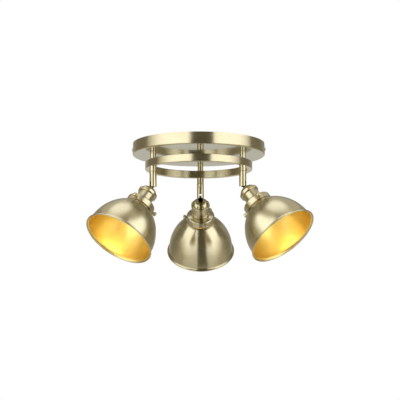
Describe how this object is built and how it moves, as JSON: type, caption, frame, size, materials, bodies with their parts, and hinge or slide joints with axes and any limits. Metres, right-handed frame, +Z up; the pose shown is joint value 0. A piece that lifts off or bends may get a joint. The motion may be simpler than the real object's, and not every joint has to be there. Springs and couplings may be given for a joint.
{
  "type": "semi flush ceiling light",
  "caption": "Semi flush ceiling light with a round pan canopy, a hoop ring on posts and swivelling, tilting spot heads with bell shades.",
  "frame": {"origin": "centre of the ceiling strap's fixing slots, on the ceiling plane", "axes": "+Z up into the ceiling; -Y faces the viewer of the picture; +X to the viewer's right"},
  "size_m": [0.4135, 0.4018, 0.2332],
  "materials": {
    "brass_shell": "satin brushed antique brass plate on pressed steel",
    "brass_turned": "satin brushed antique brass, turned",
    "shade_metal": "spun steel, brushed antique brass plate outside, gold paint inside",
    "hoop_metal": "steel bar, brushed antique brass plate",
    "zinc_steel": "zinc plated",
    "bright_brass": "bare brass",
    "block_plastic": "moulded",
    "holder_plastic": "moulded, heat resistant",
    "grommet_rubber": "soft",
    "bulb_metal": "rolled thread",
    "bulb_glass": "opal glass, lit"
  },
  "bodies": {
    "base": {"canopy_pan": "brass_shell", "canopy_side_screws": "brass_turned", "ceiling_strap": "zinc_steel", "cable_grommet": "grommet_rubber", "terminal_block": "block_plastic", "terminal_screws": "bright_brass", "earth_screw": "bright_brass", "hoop_ring": "hoop_metal", "nipple_washers": "zinc_steel", "nipple_nuts": "zinc_steel", "swivel_clips": "zinc_steel", "post_rear": "brass_turned", "nipple_rear": "zinc_steel", "swivel_sleeve_rear": "brass_turned", "post_left": "brass_turned", "nipple_left": "zinc_steel", "swivel_sleeve_left": "brass_turned", "post_right": "brass_turned", "nipple_right": "zinc_steel", "swivel_sleeve_right": "brass_turned"},
    "fork_rear": {"fork_tube_rear": "brass_turned", "knuckle_pin_rear": "brass_turned"},
    "head_rear": {"knuckle_tongue_rear": "brass_turned", "head_cap_rear": "brass_turned", "lamp_neck_rear": "brass_shell", "shade_gallery_rear": "brass_shell", "thumb_screws_rear": "brass_turned", "shade_rear": "shade_metal", "lampholder_rear": "holder_plastic", "socket_shell_rear": "bright_brass", "bulb_base_rear": "bulb_metal", "bulb_globe_rear": "bulb_glass"},
    "fork_left": {"fork_tube_left": "brass_turned", "knuckle_pin_left": "brass_turned"},
    "head_left": {"knuckle_tongue_left": "brass_turned", "head_cap_left": "brass_turned", "lamp_neck_left": "brass_shell", "shade_gallery_left": "brass_shell", "thumb_screws_left": "brass_turned", "shade_left": "shade_metal", "lampholder_left": "holder_plastic", "socket_shell_left": "bright_brass", "bulb_base_left": "bulb_metal", "bulb_globe_left": "bulb_glass"},
    "fork_right": {"fork_tube_right": "brass_turned", "knuckle_pin_right": "brass_turned"},
    "head_right": {"knuckle_tongue_right": "brass_turned", "head_cap_right": "brass_turned", "lamp_neck_right": "brass_shell", "shade_gallery_right": "brass_shell", "thumb_screws_right": "brass_turned", "shade_right": "shade_metal", "lampholder_right": "holder_plastic", "socket_shell_right": "bright_brass", "bulb_base_right": "bulb_metal", "bulb_globe_right": "bulb_glass"}
  },
  "joints": [
    {"name": "swivel_rear", "type": "hinge", "parent": "base", "child": "fork_rear", "pos_m": [0, 0.096, -0.065], "axis": [0, 0, 1], "range_deg": [-61.5, 58.5]},
    {"name": "tilt_rear", "type": "hinge", "parent": "fork_rear", "child": "head_rear", "pos_m": [0, 0.096, -0.086], "axis": [0.9997, 0.0262, 0], "range_deg": [-44.7, 40.3]},
    {"name": "swivel_left", "type": "hinge", "parent": "base", "child": "fork_left", "pos_m": [-0.08314, -0.048, -0.065], "axis": [0, 0, 1], "range_deg": [-73.5, 46.5]},
    {"name": "tilt_left", "type": "hinge", "parent": "fork_left", "child": "head_left", "pos_m": [-0.08314, -0.048, -0.086], "axis": [-0.6884, 0.7254, 0], "range_deg": [-37.1, 47.9]},
    {"name": "swivel_right", "type": "hinge", "parent": "base", "child": "fork_right", "pos_m": [0.08314, -0.048, -0.065], "axis": [0, 0, 1], "range_deg": [-57.2, 62.8]},
    {"name": "tilt_right", "type": "hinge", "parent": "fork_right", "child": "head_right", "pos_m": [0.08314, -0.048, -0.086], "axis": [-0.5417, -0.8406, 0], "range_deg": [-40.3, 44.7]}
  ]
}
